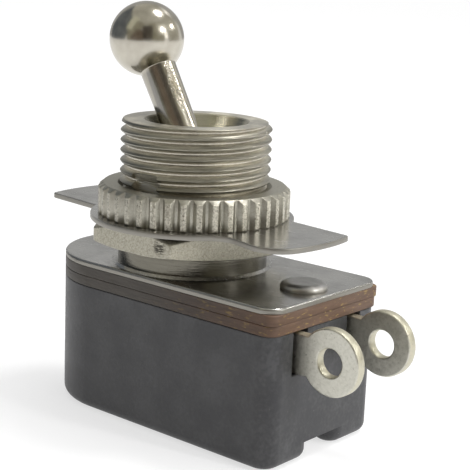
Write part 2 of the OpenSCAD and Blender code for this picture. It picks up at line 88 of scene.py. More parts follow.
STEM_TOP_R = 1.46 * MM
STEM_LOW_R = 1.36 * MM
NECK_R = 0.10 * MM                # small fillet turned between stem and ball
HUB_R = 2.6 * MM
TAIL_REACH = 4.6 * MM
TAIL_TOP_R = 1.1 * MM
TAIL_LOW_R = 0.6 * MM
TIP_R = 0.9 * MM
PIN_HOLE_R = 0.78 * MM

SWAGE_R = 5.45 * MM               # the rim closed over under the cover plate
SWAGE_H = 0.6 * MM
STEM_R = 5.0 * MM                 # the bushing's reduced end, through the cover plate
NUT_SEAT_R = thread_r - 0.25 * MM  # under the two nuts, clear of their bores
BORE_R = 4.4 * MM
RING_GROOVE = 0.35 * MM           # how deep the retaining ring's groove goes into the bore's wall
SOCKET_PLAY = 0.06 * MM           # between the lever's hub and its seat
SOCKET_RIM = 66                   # degrees from the axis at which the seat runs into the funnel

# The bushing's top: a chamfer outside, a funnel inside, and a rounded edge between each and the
# flat. The two faces are in degrees from the axis, the edges are a radius and how far in or out.
CHAMFER_H = 0.35 * MM
CHAMFER_FACE = 63
RIM_R = 0.08 * MM
RIM_IN = 0.224 * MM
MOUTH_R = 4.15 * MM
FUNNEL_FACE = 58
MOUTH_RIM_R = 0.07 * MM
MOUTH_RIM_OUT = 0.039 * MM

KEY_W = 2.6 * MM
KEY_DEPTH = 0.8 * MM
KEY_TOP = 3.35 * MM               # from the bushing's top to where the keyway runs out
KEY_CUTTER_R = 3.2 * MM

COVER_TOP = cover_high.z - 0.2 * MM    # the flat round the low boss that the bushing stands in
RIVET_SHANK_R = 1.0 * MM
GASKET_HOLE_R = 5.55 * MM
GASKET_EDGE = 0.07 * MM
ALMOST = 0.9999                   # of a half width: two bevels stop just short of each other

# Where the notch under the terminal end is, and how short its edges are where it runs out
NOTCH_START = 10.5 * MM
NOTCH_HALF = 2.9 * MM
NOTCH_TOP = 1.6 * MM
NOTCH_STEP = 0.6 * MM


def outwards(angle):
    """The level direction out from the bushing's axis, at an angle in degrees from +X."""
    return Vector((cos(radians(angle)), sin(radians(angle)), 0))


# A knock on the first turn of the thread
NICK_R = 0.30 * MM
NICK_AT = outwards(19) * (thread_r + 0.08 * MM) + Vector((0, 0, 23.1 * MM))

# Where a spanner bit the hex nut, and the side of the bushing's mouth where a highlight streak is painted
BITE_AT = outwards(-67) * 7.75 * MM + Vector((0, 0, hex_low.z + 0.95 * MM))
HIGHLIGHT_SIDE = outwards(100)

# Which side of the stem is scuffed, which side has a painted dark reflection, and how far above the pivot the
# scuff is
SCUFF_SIDE = Vector((0.80, -0.26, 0.54)).normalized()
SCUFF_REACH = 6.4 * MM
DARK_REFLECTION_SIDE = Vector((-0.53, -0.80, -0.28)).normalized()

# ---------------------------------------------------------------- the set

CAMERA_AT = Vector((65.8296, -73.4715, 36.8529)) * MM
CAMERA_AZIMUTH = 39.9191          # degrees round from -Y towards +X
CAMERA_ELEVATION = 12.7698
CAMERA_ROLL = 2.3627
CAMERA_LENS = 96.84
FLOOR_Z = -0.02 * MM              # just clear of the object's underside
FLOOR_GLOW = 0.65                 # brings the paper up to white, to the eye and in polished metal

# How bright the room is to matt surfaces, where 1 is white
ROOM_LEVEL = 0.30

# Soft suns: name, direction from the object, width in degrees, and the level that each gives white
SUNS = (("soft_key", (0.14, 0.34, 0.93), 60, 0.42),
        ("soft_fill", (0.90, 0.30, 0.55), 50, 0.30))

# Small lamps for highlights: name, direction from the object, distance, diameter, watts
LAMPS = (("ceiling_lamp", (0.138, 0.344, 0.928), 0.42, 0.09, 0.50),
         ("window_lamp", (0.530, 0.670, 0.520), 0.42, 0.04, 0.14),
         ("side_lamp", (0.828, 0.130, 0.545), 0.42, 0.032, 0.42))

# Cards: name, azimuth, elevation, width and height in degrees, distance, and the two shades
CARDS = (("left_wall", -62, 27, 76, 60, 0.50, "#5C626A", "#7B7F83"),
         ("left_front_wall", 0, 27, 44, 58, 0.50, "#8C887A", "#A9A592"),
         ("tall_window", -20, 46, 20, 36, 0.46, "#C9CBB6", "#E6E4D2"),
         ("door", 12, 16, 40, 34, 0.49, "#665A50", "#84776A"),
         ("front_wall", 46, 23, 30, 46, 0.48, "#45413D", "#5E574F"),
         ("table_edge", 40, 1, 20, 1.6, 0.45, "#FFFFFF", "#FFFFFF"),
         ("right_front_wall", 80, 27, 44, 56, 0.50, "#8A8672", "#A39F8E"),
         ("right_wall", 138, 27, 52, 58, 0.50, "#A5A296", "#BBB8AC"),
         ("back_wall", -140, 22, 84, 48, 0.50, "#A8A8A6", "#C2C2C0"),
         ("ceiling", 0, 90, 84, 84, 0.50, "#B4B2A8", "#CCCAC0"))


# ---------------------------------------------------------------- working on a piece by hand

def put_down():
    """Object mode, with nothing selected."""
    if bpy.context.object and bpy.context.object.mode != "OBJECT":
        bpy.ops.object.mode_set(mode="OBJECT")
    bpy.ops.object.select_all(action="DESELECT")


def pick_up(piece):
    """Only this piece selected and active."""
    put_down()
    piece.select_set(True)
    bpy.context.view_layer.objects.active = piece


def edit(piece, kind="VERT"):
    """The piece in edit mode, with nothing in it selected."""
    pick_up(piece)
    bpy.ops.object.mode_set(mode="EDIT")
    bpy.ops.mesh.select_mode(type=kind)
    bpy.ops.mesh.select_all(action="DESELECT")


def choose(piece, kind, wanted):
    """The piece in edit mode, with the vertices, edges or faces selected for which wanted is true."""
    edit(piece, kind)
    bpy.ops.object.mode_set(mode="OBJECT")
    mesh = piece.data
    for item in {"VERT": mesh.vertices, "EDGE": mesh.edges, "FACE": mesh.polygons}[kind]:
        item.select = wanted(item)
    bpy.ops.object.mode_set(mode="EDIT")


def settle(piece):
    """The piece's place, turn and size go into its mesh, as a node's do."""
    pick_up(piece)
    bpy.ops.object.transform_apply(location=True, rotation=True, scale=True)


def shape_with(piece, kind, **settings):
    """One modifier, applied."""
    pick_up(piece)
    modifier = piece.modifiers.new(kind.title(), kind)
    for name, value in settings.items():
        setattr(modifier, name, value)
    bpy.ops.object.modifier_apply(modifier=modifier.name)


def smooth(piece, angle):
    """Shaded smooth, but for edges sharper than angle."""
    pick_up(piece)
    bpy.ops.object.shade_smooth_by_angle(angle=radians(angle), keep_sharp_edges=False)


def keep_flats(piece):
    """Broad flat faces shade flat, and only the rounded edges between them turn the light."""
    shape_with(piece, "WEIGHTED_NORMAL", weight=100, keep_sharp=True)


def close_up(piece):
    """Doubled vertices merged, then all faces turned outwards."""
    edit(piece)
    bpy.ops.mesh.select_all(action="SELECT")
    bpy.ops.mesh.remove_doubles(threshold=MERGE_WITHIN)
    bpy.ops.mesh.normals_make_consistent(inside=False)
    put_down()


def arc(centre, r, start, end, steps):
    """Points (along, out) on an arc from start to end, in degrees from the axis."""
    turns = [radians(start + (end - start) * i / steps) for i in range(steps + 1)]
    return [(centre[0] + r * cos(a), centre[1] + r * sin(a)) for a in turns]


def drawn(name, points):
    """A line drawn from a single vertex, extruded from point to point. It is left in edit mode."""
    put_down()
    bpy.ops.mesh.primitive_plane_add(size=MM, location=points[0])
    piece = bpy.context.object
    piece.name = name
    settle(piece)
    edit(piece)
    bpy.ops.mesh.select_all(action="SELECT")
    bpy.ops.mesh.merge(type="CENTER")
    for here, there in zip(points, points[1:]):
        bpy.ops.mesh.extrude_vertices_move(TRANSFORM_OT_translate={"value": there - here})
    bpy.ops.mesh.select_all(action="SELECT")
    return piece


def turned(name, outline, foot, axis, side, steps=96):
    """A piece turned on a lathe: its half outline is drawn, then spun round."""
    piece = drawn(name, [foot + along * axis + out * side for along, out in outline])
    bpy.ops.mesh.spin(steps=steps, angle=2 * pi, center=foot, axis=axis)
    close_up(piece)
    return piece


def eased(node, width, name, segments=2):
    """A copy of a node whose sharp edges are rounded over, as tumbling and plating leave them. The short
    edges where the notch runs out under the terminal end have no room for that and stay as they are."""
    put_down()
    piece = bpy.data.objects.new(name, frame["nodes"][node].data.copy())
    bpy.context.scene.collection.objects.link(piece)
    pick_up(piece)
    bpy.ops.mesh.customdata_custom_splitnormals_clear()
    edit(piece)
    bpy.ops.mesh.select_all(action="SELECT")
    bpy.ops.mesh.remove_doubles(threshold=MERGE_WITHIN)
    bpy.ops.mesh.dissolve_limited(angle_limit=radians(0.5))
    edit(piece, "EDGE")
    bpy.ops.mesh.edges_select_sharp(sharpness=radians(50))
    put_down()
    sharp = {edge.index for edge in piece.data.edges if edge.select}
    choose(piece, "EDGE", lambda e: e.index in sharp and not is_in_notch(piece, e))
    bpy.ops.mesh.bevel(offset=width, segments=segments, affect="EDGES", clamp_overlap=False)
    put_down()
    smooth(piece, 35)
    keep_flats(piece)
    return piece


def is_in_notch(piece, edge):
    """Is this a short edge, where the notch under the terminal end runs out?"""
    a, b = (piece.data.vertices[i].co for i in edge.vertices)
    return (a - b).length < NOTCH_STEP and all(
        abs(end.y) < NOTCH_HALF and end.x > NOTCH_START and end.z < NOTCH_TOP for end in (a, b))


def cut_from(piece, cutter):
    """The cutter's shape taken out of the piece. The cutter is used up."""
    shape_with(piece, "BOOLEAN", operation="DIFFERENCE", solver="EXACT", object=cutter)
    bpy.data.objects.remove(cutter)


# ---------------------------------------------------------------- pieces

def make_lever():
    """Ball, thin fillet, tapered stem, hub and tail in one turning, with the cross hole for its pin.
    neck, hub, tail and tip are angles from the axis, where a round form meets the stem or the tail."""
    neck = degrees(pi - atan2(STEM_TOP_R + NECK_R, sqrt((ball_r + NECK_R) ** 2 - (STEM_TOP_R + NECK_R) ** 2)))
    neck_x = ball_reach + (ball_r + NECK_R) * cos(radians(neck))
    hub = degrees(atan2(STEM_LOW_R, sqrt(HUB_R ** 2 - STEM_LOW_R ** 2)))
    tail = degrees(atan2(TAIL_TOP_R, sqrt(HUB_R ** 2 - TAIL_TOP_R ** 2)))
    tip = degrees(atan2(TAIL_LOW_R, sqrt(TIP_R ** 2 - TAIL_LOW_R ** 2)))
    outline = arc((ball_reach, 0), ball_r, 0, neck, 48)
    outline += arc((neck_x, STEM_TOP_R + NECK_R), NECK_R, neck - 180, -90, 4)[1:]
    outline += arc((0, 0), HUB_R, hub, 180 - tail, 32)
    outline += arc((-TAIL_REACH, 0), TIP_R, tip, 180, 16)
    lever = turned("toggle_lever", outline, pivot, lever_axis, lever_side, steps=128)

    mill_disc(lever, PIN_HOLE_R, 3 * HUB_R, pivot, (pi / 2, 0, 0))
    close_up(lever)
    smooth(lever, 40)
    return lever


def make_bushing():
    """A turned blank with rounded rims, its keyway and pin slot milled, and a right-hand thread cut
    into its outside."""
    low, top = bushing_low.z, bushing_high.z
    collar_top, thread_low = hex_low.z, knurl_high.z
    seat_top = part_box("seat_ring")[1].z
    ring_low, ring_high = (end.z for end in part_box("retaining_ring"))
    socket_r = HUB_R + SOCKET_PLAY
    seat_angle = degrees(acos((seat_top - pivot.z) / socket_r))
    outline = [(low, SWAGE_R), (low + SWAGE_H, SWAGE_R), (low + SWAGE_H, STEM_R), (cover_high.z, STEM_R),
               (cover_high.z, thread_r), (collar_top, thread_r), (collar_top, NUT_SEAT_R),
               (thread_low, NUT_SEAT_R), (thread_low, thread_r), (top - CHAMFER_H, thread_r)]
    outline += arc((top - RIM_R, thread_r - RIM_IN), RIM_R, CHAMFER_FACE, 0, 4)
    outline += arc((top - MOUTH_RIM_R, MOUTH_R + MOUTH_RIM_OUT), MOUTH_RIM_R, 0, -FUNNEL_FACE, 4)
    outline += arc((pivot.z, 0), socket_r, SOCKET_RIM, seat_angle, 16)
    outline += [(seat_top, BORE_R), (ring_high, BORE_R), (ring_high, BORE_R + RING_GROOVE),
                (ring_low, BORE_R + RING_GROOVE), (ring_low, BORE_R), (low, BORE_R), (low, SWAGE_R)]
    bushing = turned("threaded_bushing", outline, Vector(), Z_AXIS, X_AXIS, steps=144)

    floor = thread_r - KEY_DEPTH
    run_out = sqrt(KEY_CUTTER_R ** 2 - (KEY_CUTTER_R - KEY_DEPTH) ** 2)
    key_end = top - KEY_TOP - run_out
    mill_disc(bushing, KEY_CUTTER_R, KEY_W, (0, -floor - KEY_CUTTER_R, key_end), (0, pi / 2, 0))
    mill_slot(bushing, (KEY_W, 2 * KEY_DEPTH, key_end - collar_top),
              (0, -floor - KEY_DEPTH, (key_end + collar_top) / 2))
    span = 2 * BORE_R - 0.1 * MM    # through the seat for the pin, and clear of the bore's wall
    mill_disc(bushing, PIN_HOLE_R, span, pivot, (pi / 2, 0, 0))
    mill_slot(bushing, (2 * PIN_HOLE_R, span, pivot.z - ring_low), (0, 0, (pivot.z + ring_low) / 2))
    cut_from(bushing, thread_groove())
    put_down()
    bpy.ops.mesh.primitive_uv_sphere_add(segments=32, ring_count=16, radius=NICK_R, location=NICK_AT)
    cut_from(bushing, bpy.context.object)
    close_up(bushing)
    smooth(bushing, 50)
    return bushing


def mill_disc(piece, r, width, place, turn):
    """A round cutter's shape taken out of the piece."""
    put_down()
    bpy.ops.mesh.primitive_cylinder_add(vertices=96, radius=r, depth=width, location=place, rotation=turn)
    cut_from(piece, bpy.context.object)


def mill_slot(piece, size, place):
    """A square-cornered slot taken out of the piece."""
    put_down()
    bpy.ops.mesh.primitive_cube_add(size=1, scale=size, location=place)
    cut_from(piece, bpy.context.object)


def thread_groove():
    """What the threading tool takes away: its section is drawn, then led along the screw line."""
    low = hex_low.z
    turns = int((bushing_high.z - low) / THREAD_PITCH) + 2
    start = FIRST_CREST + THREAD_PITCH / 2
    start -= THREAD_PITCH * int((start - low) / THREAD_PITCH)
    lower = [Vector((thread_r - depth * MM, 0, start - half * MM)) for depth, half in THREAD_FORM]
    upper = [Vector((thread_r - depth * MM, 0, start + half * MM)) for depth, half in THREAD_FORM]
    groove = drawn("groove", lower + upper[::-1] + lower[:1])
    close_up(groove)
    shape_with(groove, "SCREW", axis="Z", steps=96, render_steps=96, iterations=turns,
               screw_offset=THREAD_PITCH, use_normal_calculate=True, use_smooth_shade=False)
    edit(groove)
    bpy.ops.mesh.select_all(action="SELECT")
    bpy.ops.mesh.fill_holes(sides=0)
    close_up(groove)
    return groove


def make_rivet():
    """Flat-topped head with a soft rim, over the shank, and the closed end in its recess."""
    head_r, rim, edge = rivet_high.y, 0.6 * MM, 0.12 * MM
    top = rivet_high.z
    dome = [radians(90 - 10 * i) for i in range(10)]
    outline = [(top, 0), (top, (head_r - rim) / 2)]
    outline += [(COVER_TOP + edge + (top - COVER_TOP - edge) * sin(a), head_r - rim + rim * cos(a))
                for a in dome]
    outline += [(COVER_TOP, head_r - edge / 2), (COVER_TOP, RIVET_SHANK_R)]
    clinch_r, clinch_edge = RIVET_SHANK_R + 0.4 * MM, 0.3 * MM
    recess_top = rivet_low.z + 2 * clinch_edge
    outline += [(recess_top, RIVET_SHANK_R), (recess_top, clinch_r)]
    outline += arc((rivet_low.z + clinch_edge, clinch_r - clinch_edge), clinch_edge, 90, 180, 5)
    outline += [(rivet_low.z, 0)]
    foot = Vector((rivet_x, 0, 0))
    rivet = turned("cover_rivet_turned", outline, foot, Z_AXIS, X_AXIS, steps=64)
    smooth(rivet, 50)
    return rivet


def make_gasket(node, name, corner):
    """Punched fibre: a slab with one round end and two rounded corners, and a softened cut edge."""
    low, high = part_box(node)
    middle, size = (low + high) / 2, high - low
    put_down()
    bpy.ops.mesh.primitive_cube_add(size=1, location=middle, scale=size)
    gasket = bpy.context.object
    gasket.name = name
    settle(gasket)
    choose(gasket, "EDGE", lambda e: is_upright(gasket, e, high.x))
    bpy.ops.mesh.bevel(offset=corner, segments=10, affect="EDGES", clamp_overlap=False)
    choose(gasket, "EDGE", lambda e: is_upright(gasket, e, low.x))
    bpy.ops.mesh.bevel(offset=size.y / 2 * ALMOST, segments=48, affect="EDGES", clamp_overlap=False)
    close_up(gasket)
    for hole_x, hole_r in ((0, GASKET_HOLE_R), (rivet_x, RIVET_SHANK_R * 1.05)):
        mill_disc(gasket, hole_r, 3 * size.z, (hole_x, 0, middle.z), (0, 0, 0))
    shape_with(gasket, "BEVEL", width=GASKET_EDGE, segments=4, limit_method="ANGLE",
               angle_limit=radians(60), use_clamp_overlap=False)
    close_up(gasket)
    smooth(gasket, 40)
    keep_flats(gasket)
    return gasket


def is_upright(piece, edge, x):
    """Does this edge stand upright at that x?"""
    a, b = (piece.data.vertices[i].co for i in edge.vertices)
    return abs(a.x - x) < NEAR and abs(b.x - x) < NEAR and abs(a.z - b.z) > NEAR


# ---------------------------------------------------------------- materials

# Most values of a noise texture lie in this span
NOISE_SPAN = {"From Min": 0.3, "From Max": 0.7}


def linear(code):
    """An sRGB hex colour as linear red, green, blue and alpha."""
    parts = [int(code[i:i + 2], 16) / 255 for i in (1, 3, 5)]
    return [c / 12.92 if c <= 0.04045 else ((c + 0.055) / 1.055) ** 2.4 for c in parts] + [1.0]


def feed(tree, node, feeds):
    """Values, sockets, or other nodes by their first output, into the node's inputs."""
    for name, value in feeds.items():
        if isinstance(value, bpy.types.Node):
            value = next(socket for socket in value.outputs if socket.enabled)
        if isinstance(value, bpy.types.NodeSocket):
            tree.links.new(value, node.inputs[name])
        else:
            node.inputs[name].default_value = value


def add(tree, kind, feeds=(), stops=(), **settings):
    """A node with its settings and feeds, and a ramp's stops: positions, each with a colour or level."""
    node = tree.nodes.new(kind)
    for name, value in settings.items():
        setattr(node, name, value)
    for i, (position, shade) in enumerate(stops):
        if i == len(node.color_ramp.elements):
            node.color_ramp.elements.new(position)
        node.color_ramp.elements[i].position = position
        node.color_ramp.elements[i].color = linear(shade) if isinstance(shade, str) else (shade,) * 3 + (1,)
    feed(tree, node, dict(feeds))
    return node


def new_material(name, kind="ShaderNodeBsdfPrincipled"):
    """An empty material: its tree, its shader of that kind and the object's own coordinates."""
    material = bpy.data.materials.new(name)
    material.use_nodes = True
    tree = material.node_tree
    tree.nodes.clear()
    shader = add(tree, kind)
    add(tree, "ShaderNodeOutputMaterial", {"Surface": shader})
    place = add(tree, "ShaderNodeTexCoord").outputs["Object"]
    return material, tree, shader, place


def moulded_bakelite():
    """Phenolic, compression moulded: grey-black and satin, with a fine mottle of its wood flour and a
    few pale specks of dust."""
    material, tree, shader, place = new_material("moulded_bakelite")
    cloud = add(tree, "ShaderNodeTexNoise", {"Vector": place, "Scale": 1 / (2.5 * MM), "Detail": 4})
    flour = add(tree, "ShaderNodeTexNoise", {"Vector": place, "Scale": 1 / (0.32 * MM), "Detail": 3})
    mottle = add(tree, "ShaderNodeMath", {0: cloud, 1: flour}, operation="ADD")
    body = add(tree, "ShaderNodeValToRGB", {"Fac": add(tree, "ShaderNodeMath", {0: mottle, 1: 0.5},
                                                       operation="MULTIPLY")},
               [(0.40, "#26262A"), (0.5, "#363638"), (0.60, "#48484A")])
    specks = add(tree, "ShaderNodeTexNoise", {"Vector": place, "Scale": 1 / (0.35 * MM), "Detail": 2})
    dust = add(tree, "ShaderNodeValToRGB", {"Fac": specks}, [(0.72, 0.0), (0.79, 0.5)])
    colour = add(tree, "ShaderNodeMix", {0: dust, 6: body, 7: linear("#8A8682")}, data_type="RGBA")
    rough = add(tree, "ShaderNodeMapRange", {"Value": flour, **NOISE_SPAN, "To Min": 0.38, "To Max": 0.52})
    skin = add(tree, "ShaderNodeBump", {"Height": flour, "Distance": 0.008 * MM})
    feed(tree, shader, {"Base Color": colour, "Roughness": rough, "Normal": skin, "IOR": 1.6})
    return material


def vulcanised_fibre():
    """Fibre board, punched: brown, greyer towards the round end and redder at the terminals, layered in its
    plane, with pale fibres pulled out of the cut edge there."""
    material, tree, shader, place = new_material("vulcanised_fibre")
    along = add(tree, "ShaderNodeSeparateXYZ", {"Vector": place}).outputs["X"]
    layered = add(tree, "ShaderNodeMapping", {"Vector": place, "Scale": (0.25, 0.25, 2.2)})
    layers = add(tree, "ShaderNodeTexNoise", {"Vector": layered, "Scale": 1 / (0.6 * MM), "Detail": 5,
                                              "Roughness": 0.65})
    # Greyer towards the round end and redder towards the terminals, where the pulled fibres show
    drift = add(tree, "ShaderNodeMath", {0: layers, 1: 5 * MM, 2: along}, operation="MULTIPLY_ADD")
    towards_terminals = add(tree, "ShaderNodeMapRange", {"Value": drift, "From Min": 3 * MM, "From Max": 15 * MM})
    body = add(tree, "ShaderNodeValToRGB", {"Fac": towards_terminals},
               [(0.0, "#5E5851"), (0.45, "#54473E"), (1.0, "#6C5342")])
    shade = add(tree, "ShaderNodeMapRange", {"Value": layers, **NOISE_SPAN, "To Min": 0.72, "To Max": 1.18})
    shaded = add(tree, "ShaderNodeMix", {0: 1.0, 6: body, 7: shade}, data_type="RGBA", blend_type="MULTIPLY")
    stretched = add(tree, "ShaderNodeMapping", {"Vector": place, "Scale": (0.35, 0.35, 1.3)})
    strands = add(tree, "ShaderNodeTexNoise", {"Vector": stretched, "Scale": 1 / (0.22 * MM), "Detail": 2})
    pulled = add(tree, "ShaderNodeValToRGB", {"Fac": strands}, [(0.60, 0.0), (0.69, 0.7)])
    fibres = add(tree, "ShaderNodeMath", {0: pulled, 1: towards_terminals}, operation="MULTIPLY")
    colour = add(tree, "ShaderNodeMix", {0: fibres, 6: shaded, 7: linear("#A98E52")}, data_type="RGBA")
    nap = add(tree, "ShaderNodeBump", {"Height": layers, "Distance": 0.05 * MM})
    feed(tree, shader, {"Base Color": colour, "Roughness": 0.55, "Normal": nap})
    return material


def plated_sheet(name, polish, shear, cut):
    """Nickel plate on rolled steel, stamped: half bright faces with faint rolling lines, cloudy stains
    and short scratches, and a duller band where the punch sheared the edge. polish is the roughness
    of the faces, shear that of the edge, and cut the edge's colour."""
    material, tree, shader, place = new_material(name)
    stain = add(tree, "ShaderNodeTexNoise", {"Vector": place, "Scale": 1 / (3 * MM), "Detail": 6,
                                             "Roughness": 0.6})
    body = add(tree, "ShaderNodeValToRGB", {"Fac": stain}, [(0.32, "#A3A2A0"), (0.5, "#B9B8B6"),
                                                            (0.68, "#C2C1BE")])
    rolled = add(tree, "ShaderNodeMapping", {"Vector": place, "Rotation": (0, 0, 0.5),
                                             "Scale": (0.04, 1, 1)})
    marks = add(tree, "ShaderNodeTexNoise", {"Vector": rolled, "Scale": 1 / (0.12 * MM), "Detail": 1})
    scratch = add(tree, "ShaderNodeValToRGB", {"Fac": marks}, [(0.70, 0.0), (0.75, 0.55)])
    scratched = add(tree, "ShaderNodeMix", {0: scratch, 6: body, 7: linear("#E4E2DC")}, data_type="RGBA")
    facing = add(tree, "ShaderNodeSeparateXYZ", {"Vector": add(tree, "ShaderNodeTexCoord").outputs["Normal"]})
    flat = add(tree, "ShaderNodeMath", {0: facing.outputs["Z"]}, operation="ABSOLUTE")
    edge = add(tree, "ShaderNodeMapRange", {"Value": flat, "From Min": 0.25, "From Max": 0.75,
                                            "To Min": 1.0, "To Max": 0.0})
    colour = add(tree, "ShaderNodeMix", {0: edge, 6: scratched, 7: linear(cut)}, data_type="RGBA")
    lines = add(tree, "ShaderNodeTexNoise", {"Vector": rolled, "Scale": 1 / (0.10 * MM), "Detail": 3})
    face = add(tree, "ShaderNodeMapRange", {"Value": lines, **NOISE_SPAN, "To Min": polish - 0.05,
                                            "To Max": polish + 0.07})
    rough = add(tree, "ShaderNodeMix", {0: edge, 2: face, 3: shear})
    relief = add(tree, "ShaderNodeBump", {"Height": lines, "Distance": 0.0015 * MM})
    feed(tree, shader, {"Base Color": colour, "Metallic": 1.0, "Roughness": rough, "Normal": relief})
    return material


def threaded_nickel():
    """Nickel on turned brass: satin and warm grey with fine rings from the tool, crests painted darker than
    the roots as painted shade, painted light on the milled keyway's floor, painted shade on the smoother
    collar below the nut, a darker and smoother mouth, and a painted highlight streak down one side of its
    funnel."""
    material, tree, shader, place = new_material("threaded_nickel")
    height = add(tree, "ShaderNodeSeparateXYZ", {"Vector": place}).outputs["Z"]
    flat = add(tree, "ShaderNodeVectorMath", {0: place, 1: (1, 1, 0)}, operation="MULTIPLY")
    radius = add(tree, "ShaderNodeVectorMath", {0: flat}, operation="LENGTH").outputs["Value"]
    grain = add(tree, "ShaderNodeTexNoise", {"Vector": place, "Scale": 1 / (0.20 * MM), "Detail": 4,
                                             "Roughness": 0.6})
    body = add(tree, "ShaderNodeValToRGB", {"Fac": grain}, [(0.3, "#B2AEA3"), (0.7, "#C6C2B7")])
    # Painted shade: the crests are darker than the roots, which tones down their bright reflections
    crest = add(tree, "ShaderNodeMapRange", {"Value": radius, "From Min": THREAD_ROOT_R + 0.15 * MM,
                                             "From Max": thread_r - 0.05 * MM})
    crest_tone = add(tree, "ShaderNodeMix", {0: crest, 6: body, 7: linear("#8A877D")}, data_type="RGBA")
    # Painted light: the floor of the keyway is painted near white
    inward = add(tree, "ShaderNodeMapRange", {"Value": radius, "From Min": THREAD_ROOT_R - 0.2 * MM,
                                              "From Max": THREAD_ROOT_R - 0.05 * MM,
                                              "To Min": 1.0, "To Max": 0.0})
    below = add(tree, "ShaderNodeMapRange", {"Value": height, "From Min": bushing_high.z - KEY_TOP,
                                             "From Max": bushing_high.z - KEY_TOP + 0.3 * MM,
                                             "To Min": 1.0, "To Max": 0.0})
    milled = add(tree, "ShaderNodeMath", {0: inward, 1: below}, operation="MULTIPLY")
    keyway_painted_light = add(tree, "ShaderNodeMix", {0: milled, 6: crest_tone, 7: linear("#F6F4EC")}, data_type="RGBA")
    ringed = add(tree, "ShaderNodeMapping", {"Vector": place, "Scale": (0.05, 0.05, 1)})
    rings = add(tree, "ShaderNodeTexNoise", {"Vector": ringed, "Scale": 1 / (0.16 * MM), "Detail": 3,
                                             "Roughness": 0.7})
    lines = add(tree, "ShaderNodeMapRange", {"Value": rings, **NOISE_SPAN, "To Min": 0.78, "To Max": 1.6})
    brushed = add(tree, "ShaderNodeMix", {0: 1.0, 6: keyway_painted_light, 7: lines}, data_type="RGBA",
                  blend_type="MULTIPLY")
    # Painted shade: the collar below the hex nut is painted darker, and it is also made smoother
    collar = add(tree, "ShaderNodeMapRange", {"Value": height, "From Min": hex_low.z - 0.02 * MM,
                                              "From Max": hex_low.z, "To Min": 0.85, "To Max": 0.0})
    collar_painted_shade = add(tree, "ShaderNodeMix", {0: collar, 6: brushed, 7: linear("#69665D")}, data_type="RGBA")
    # Darker and smoother inside the mouth
    mouth = add(tree, "ShaderNodeMapRange", {"Value": radius, "From Min": MOUTH_R - 0.1 * MM,
                                             "From Max": MOUTH_R, "To Min": 0.8, "To Max": 0.0})
    mouth_darkened = add(tree, "ShaderNodeMix", {0: mouth, 6: collar_painted_shade, 7: linear("#A09D8A")}, data_type="RGBA")
    # Painted highlight: a bright streak down one side of the funnel
    way = add(tree, "ShaderNodeVectorMath", {0: flat}, operation="NORMALIZE")
    facing = add(tree, "ShaderNodeVectorMath", {0: way, 1: HIGHLIGHT_SIDE},
                 operation="DOT_PRODUCT").outputs["Value"]
    highlight_streak = add(tree, "ShaderNodeMapRange", {"Value": facing, "From Min": cos(radians(9)),
                                           "From Max": cos(radians(3))})
    painted_highlight = add(tree, "ShaderNodeMath", {0: highlight_streak, 1: mouth}, operation="MULTIPLY")
    colour = add(tree, "ShaderNodeMix", {0: painted_highlight, 6: mouth_darkened, 7: linear("#F4F2E6")}, data_type="RGBA")
    satin = add(tree, "ShaderNodeMapRange", {"Value": rings, **NOISE_SPAN, "To Min": 0.30, "To Max": 0.46})
    smoother = add(tree, "ShaderNodeMath", {0: collar, 1: mouth}, operation="MAXIMUM")
    rough = add(tree, "ShaderNodeMix", {0: smoother, 2: satin, 3: 0.20})
    tooling = add(tree, "ShaderNodeBump", {"Height": rings, "Distance": 0.020 * MM})
    relief = add(tree, "ShaderNodeBump", {"Height": grain, "Distance": 0.004 * MM, "Normal": tooling})
    feed(tree, shader, {"Base Color": colour, "Metallic": 1.0, "Roughness": rough, "Normal": relief})
    return material


def knurled_nickel():
    """Nickel on knurled brass: satin grooves as the wheel pressed them, and crests left rough, pitted and
    worn brighter."""
    material, tree, shader, place = new_material("knurled_nickel")
    flat = add(tree, "ShaderNodeVectorMath", {0: place, 1: (1, 1, 0)}, operation="MULTIPLY")
    radius = add(tree, "ShaderNodeVectorMath", {0: flat}, operation="LENGTH").outputs["Value"]
    crest = add(tree, "ShaderNodeMapRange", {"Value": radius, "From Min": knurl_high.y - 0.08 * MM,
                                             "From Max": knurl_high.y - 0.01 * MM})
    grain = add(tree, "ShaderNodeTexNoise", {"Vector": place, "Scale": 1 / (0.16 * MM), "Detail": 4,
                                             "Roughness": 0.7})
    groove = add(tree, "ShaderNodeValToRGB", {"Fac": grain}, [(0.3, "#9D9A8F"), (0.7, "#B4B1A6")])
    crest_tone = add(tree, "ShaderNodeValToRGB", {"Fac": grain}, [(0.36, "#8B887C"), (0.5, "#BEBAAE"),
                                                              (0.66, "#D8D4C8")])
    body = add(tree, "ShaderNodeMix", {0: crest, 6: groove, 7: crest_tone}, data_type="RGBA")
    holes = add(tree, "ShaderNodeTexNoise", {"Vector": place, "Scale": 1 / (0.22 * MM), "Detail": 2})
    pits = add(tree, "ShaderNodeValToRGB", {"Fac": holes}, [(0.66, 0.0), (0.72, 0.8)])
    pitted = add(tree, "ShaderNodeMath", {0: pits, 1: crest}, operation="MULTIPLY")
    colour = add(tree, "ShaderNodeMix", {0: pitted, 6: body, 7: linear("#4E4A40")}, data_type="RGBA")
    rough = add(tree, "ShaderNodeMapRange", {"Value": crest, "To Min": 0.40, "To Max": 0.50})
    depth = add(tree, "ShaderNodeMath", {0: grain, 1: crest}, operation="MULTIPLY")
    relief = add(tree, "ShaderNodeBump", {"Height": depth, "Distance": 0.02 * MM})
    feed(tree, shader, {"Base Color": colour, "Metallic": 1.0, "Roughness": rough, "Normal": relief})
    return material


